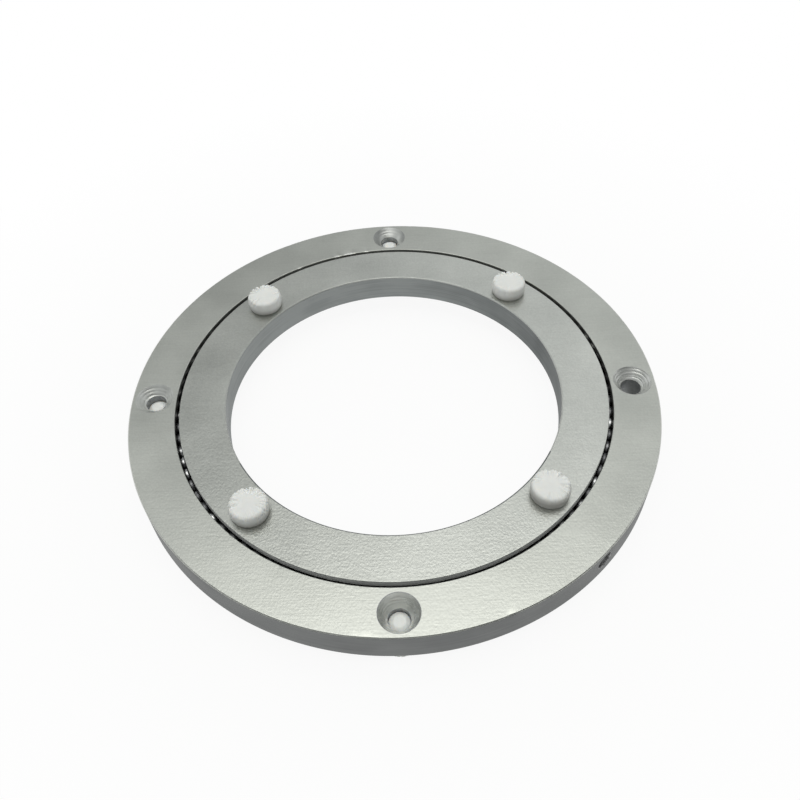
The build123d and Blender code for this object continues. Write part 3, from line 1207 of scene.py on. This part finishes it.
def siliconeButton(name, body, shape, seed):
    # A turned form about its own axis: radius and height follow a rounded profile, and notches push its
    # rim inwards by depth x bell curve of the distance from each notch x a ramp along the profile
    size = button
    crown, deepSide, stemLength, cuts = shape
    height = headHeight
    topRadius = size["radius"] - size["waist"]
    corners = [
        (0.0, height),
        (size["notchStart"], height - crown * size["crownShare"]),
        (topRadius, height - crown),
        (size["radius"], size["beltHeight"]),
        (topRadius, 0.0),
        (size["stemRadius"], 0.0),
        (size["stemRadius"], size["dome"] - stemLength),
        (size["stemRadius"] * size["domeShare"], size["tipDrop"] - stemLength),
        (0.0, -stemLength),
    ]
    rounds = ("crownRound", "shoulder", "beltRound", "foot", "seatRound", "domeRound", "tipRound")
    path = roundedPath(corners, [size[key] for key in rounds], size["roundSteps"])
    path = splitStretches(path, size["row"], size["support"])
    along = np.concatenate([[0], np.cumsum(np.linalg.norm(np.diff(path, axis=0), axis=1))])
    slope = np.gradient(path, axis=0)
    inward = np.stack([slope[:, 1], -slope[:, 0]], -1)
    inward /= np.linalg.norm(inward, axis=1, keepdims=True)
    angles = np.arange(size["around"]) * fullTurn / size["around"]
    chance = np.random.default_rng(seed)
    least, more = size["petalDepth"]
    strength = least + more * chance.uniform(0, 1, size["petals"]) ** 3
    spread = chance.normal(0, size["petalDrift"], size["petals"])
    centres = np.arange(size["petals"]) * fullTurn / size["petals"] + spread
    side = 0.5 + 0.5 * np.cos(centres - math.radians(deepSide))
    strength *= size["shallowShare"] + (1 - size["shallowShare"]) * side
    centres = np.concatenate([centres, np.radians([angle for angle, _ in cuts])])
    strength = np.concatenate([strength, [deep for _, deep in cuts]])
    away = wrapped(angles[:, None] - centres)
    reach = np.clip(path[:, 0], size["axisRoom"], None)[:, None, None]
    notch = (strength * np.exp(-((away * reach / size["notchWidth"]) ** 2))).sum(-1)
    edge = along[np.argmin(abs(path[:, 1] - height + size["shoulder"]))]
    ramp = np.clip((along - size["notchStart"]) / size["notchRun"], 0, 1)
    ramp = ramp * np.clip((edge + size["notchEnd"] - along) / size["notchEnd"], 0, 1)
    ramp = ramp * ramp * (3 - 2 * ramp)
    depth = size["notchDepth"] * notch * ramp[:, None]
    radius = path[:, :1] + inward[:, :1] * depth
    level = path[:, 1:] + inward[:, 1:] * depth
    low, high = boxInMm(name)
    x, y = (low + high)[:2] / 2
    z = outerBottom - level if body == "base" else innerTop + level
    z = np.broadcast_to(z, radius.shape)
    points = np.stack([x + radius * np.cos(angles), y + radius * np.sin(angles), z], -1)
    first, *words = name.split("_")
    pieceName = first + "".join(word.capitalize() for word in words)
    return makePiece(
        pieceName, [loopGrid(points, 0)], [silicone], body, [name], size["sharpAngle"]
    )


for body, shapes in (("turntable", padShapes), ("base", footShapes)):
    for number, (name, shape) in enumerate(shapes.items()):
        siliconeButton(name, body, shape, button["seed"][body] + number)
print("pads and feet made")


# Floor, lights and world

stage = {
    "floor": "#fcfcfb",
    "floorRoughness": 0.8,
    "floorSize": 6.0,  # metres
    "shadeInside": (4.0, 1.0),  # inside the gap, where the floor's real shade comes in and is full
    "shadeOutside": (3.4, 2.4),  # inside the rim, where it starts to fade again and is gone
    "shadowKeep": 0.09,  # share of its shade that the rest of the floor keeps
    "shadowFade": (75.0, 150.0),  # from the axis to where the shadow starts to fade out and is gone
    "skyBack": 0.655,  # brightness of the room behind the bearing
    "skyFront": 0.56,  # and in front of it
    "backEdge": (-0.4, 0.3),  # part of a direction along Y where the room goes over from front to back
    "lowBack": 0.5,  # share of that brightness that is left close to the horizon behind it
    "lowBackEdge": (6.0, 26.0),  # degrees above the horizon between which it comes back
    "lowFront": 0.2,  # and the same in front
    "lowFrontEdge": (16.0, 44.0),
    "frontRight": 0.5,  # share that is left at the front right
    "rightEdge": (-0.1, 0.4),  # part of a direction along X where that starts and is full
    "skyTop": 2.19,  # brightness of the overhead light
    "skyKey": (0.015, 0.03, 1.0),  # direction of its middle
    "skyEdge": (33.0, 18.5),  # degrees from that direction where its edge starts and ends
    "screen": (-0.21, 0.73, 0.65),  # direction of a darker screen behind the bearing's left
    "screenEdge": (15.0, 4.0),
    "screenKeep": 0.5,
    "haze": (5.0, 14.0),  # degrees above the horizon where the white backdrop fades into the room
    "keyColour": "#fffffb",
    "roomColour": "#fcffff",
    "keyBrightness": (0.7, 1.6),  # between which the room's colour goes over into the light's
}
pureWhite = (1.0, 1.0, 1.0, 1.0)


def addFloor():
    material, tree, shader, place = newMaterial("paleTable")
    setUp(tree, shader, {"Base Color": stage["floor"], "Roughness": stage["floorRoughness"]})
    rays = tree.nodes.new("ShaderNodeLightPath").outputs
    seen = rays["Is Camera Ray"]
    for other in ("Is Glossy Ray", "Is Transmission Ray"):
        seen = addNode(tree, "Math", {"operation": "MAXIMUM", 0: seen, 1: rays[other]})
    flat = addNode(tree, "VectorMath", {"operation": "MULTIPLY", 0: place, 1: (1, 1, 0)})
    away = addNode(tree, "VectorMath", {"operation": "LENGTH", 0: flat}, "Value")
    # Under the outer ring the floor stays in its real shade, which shows through the open hole
    outside = inMetres(*(outerRadius - reach for reach in stage["shadeOutside"]))
    inside = inMetres(*(gapInside - reach for reach in stage["shadeInside"]))
    outside = addNode(tree, "MapRange", {"Value": away, **fromTo(outside)})
    inside = addNode(tree, "MapRange", {"Value": away, **fromTo(inside, 1.0, 0.0)})
    clear = addNode(tree, "Math", {"operation": "MAXIMUM", 0: outside, 1: inside})
    fading = fromTo(inMetres(*stage["shadowFade"]), 1 - stage["shadowKeep"], 1.0)
    unshaded = addNode(tree, "MapRange", {"Value": away, **fading})
    share = addNode(tree, "Math", {"operation": "MULTIPLY", 0: seen, 1: clear})
    share = addNode(tree, "Math", {"operation": "MULTIPLY", 0: share, 1: unshaded})
    white = addNode(tree, "Emission", {"Color": pureWhite, "Strength": 1.0})
    surface = addNode(tree, "MixShader", {0: share, 1: shader.outputs[0], 2: white})
    # From beneath, the floor doesn't hide the bearing
    beneath = addNode(tree, "NewGeometry", {}, "Backfacing")
    beneath = addNode(tree, "Math", {"operation": "MULTIPLY", 0: beneath, 1: rays["Is Camera Ray"]})
    surface = addNode(tree, "MixShader", {0: beneath, 1: surface, 2: addNode(tree, "BsdfTransparent", {})})
    output = next(node for node in tree.nodes if node.type == "OUTPUT_MATERIAL")
    setUp(tree, output, {"Surface": surface})
    half = stage["floorSize"] / 2
    mesh = bpy.data.meshes.new("floor")
    corners = [(-half, -half, 0), (half, -half, 0), (half, half, 0), (-half, half, 0)]
    mesh.from_pydata(corners, [], [(0, 1, 2, 3)])
    mesh.materials.append(material)
    floor = bpy.data.objects.new("floor", mesh)
    bpy.context.scene.collection.objects.link(floor)


def addSky():
    # Brightness of the room by direction: a soft disc overhead, over a room that is darker in front and
    # near the horizon, where mirror rays meet the white backdrop instead
    world = bpy.data.worlds.new("studio")
    world.use_nodes = True
    tree = world.node_tree
    tree.nodes.clear()
    direction = addNode(tree, "TexCoord", {}, "Generated")
    right, back, up = (addNode(tree, "SeparateXYZ", {0: direction}, axis) for axis in "XYZ")

    def softEdge(value, ends, low, high):
        settings = {"interpolation_type": "SMOOTHSTEP", "Value": value, **fromTo(ends, low, high)}
        return addNode(tree, "MapRange", settings)

    def disc(middle, edge, low, high):
        # Low outside and high inside a round patch of sky, by the cosine of the angle from its middle
        settings = {"operation": "DOT_PRODUCT", 0: direction, 1: tuple(Vector(middle).normalized())}
        ends = tuple(math.cos(math.radians(angle)) for angle in edge)
        return softEdge(addNode(tree, "VectorMath", settings, "Value"), ends, low, high)

    def aboveHorizon(edge, low, high):
        return softEdge(up, tuple(math.sin(math.radians(angle)) for angle in edge), low, high)

    def times(first, second):
        return addNode(tree, "Math", {"operation": "MULTIPLY", 0: first, 1: second})

    behind = times(aboveHorizon(stage["lowBackEdge"], stage["lowBack"], 1.0), stage["skyBack"])
    before = times(aboveHorizon(stage["lowFrontEdge"], stage["lowFront"], 1.0), stage["skyFront"])
    before = times(before, softEdge(right, stage["rightEdge"], 1.0, stage["frontRight"]))
    share = softEdge(back, stage["backEdge"], 0.0, 1.0)
    room = addNode(tree, "Mix", {0: share, 2: before, 3: behind})
    room = times(room, disc(stage["screen"], stage["screenEdge"], 1.0, stage["screenKeep"]))
    light = times(disc(stage["skyKey"], stage["skyEdge"], 0.0, 1.0), stage["skyTop"])
    glow = addNode(tree, "Math", {"operation": "MAXIMUM", 0: room, 1: light})
    rays = tree.nodes.new("ShaderNodeLightPath").outputs
    settings = {"operation": "MAXIMUM", 0: rays["Is Glossy Ray"], 1: rays["Is Transmission Ray"]}
    mirror = addNode(tree, "Math", settings)
    white = times(aboveHorizon(stage["haze"], 1.0, 0.0), mirror)
    white = addNode(tree, "Math", {"operation": "MAXIMUM", 0: white, 1: rays["Is Camera Ray"]})
    strength = addNode(tree, "Mix", {0: white, 2: glow, 3: 1.0})
    share = softEdge(glow, stage["keyBrightness"], 0.0, 1.0)
    tints = {"data_type": "RGBA", 0: share, 6: stage["roomColour"], 7: stage["keyColour"]}
    tint = addNode(tree, "Mix", tints, 2)
    colour = addNode(tree, "Mix", {"data_type": "RGBA", 0: white, 6: tint, 7: pureWhite}, 2)
    sky = addNode(tree, "Background", {"Color": colour, "Strength": strength})
    addNode(tree, "OutputWorld", {"Surface": sky})
    bpy.context.scene.world = world


addFloor()
addSky()
bpy.context.scene.view_settings.view_transform = "Standard"
print("stage set")
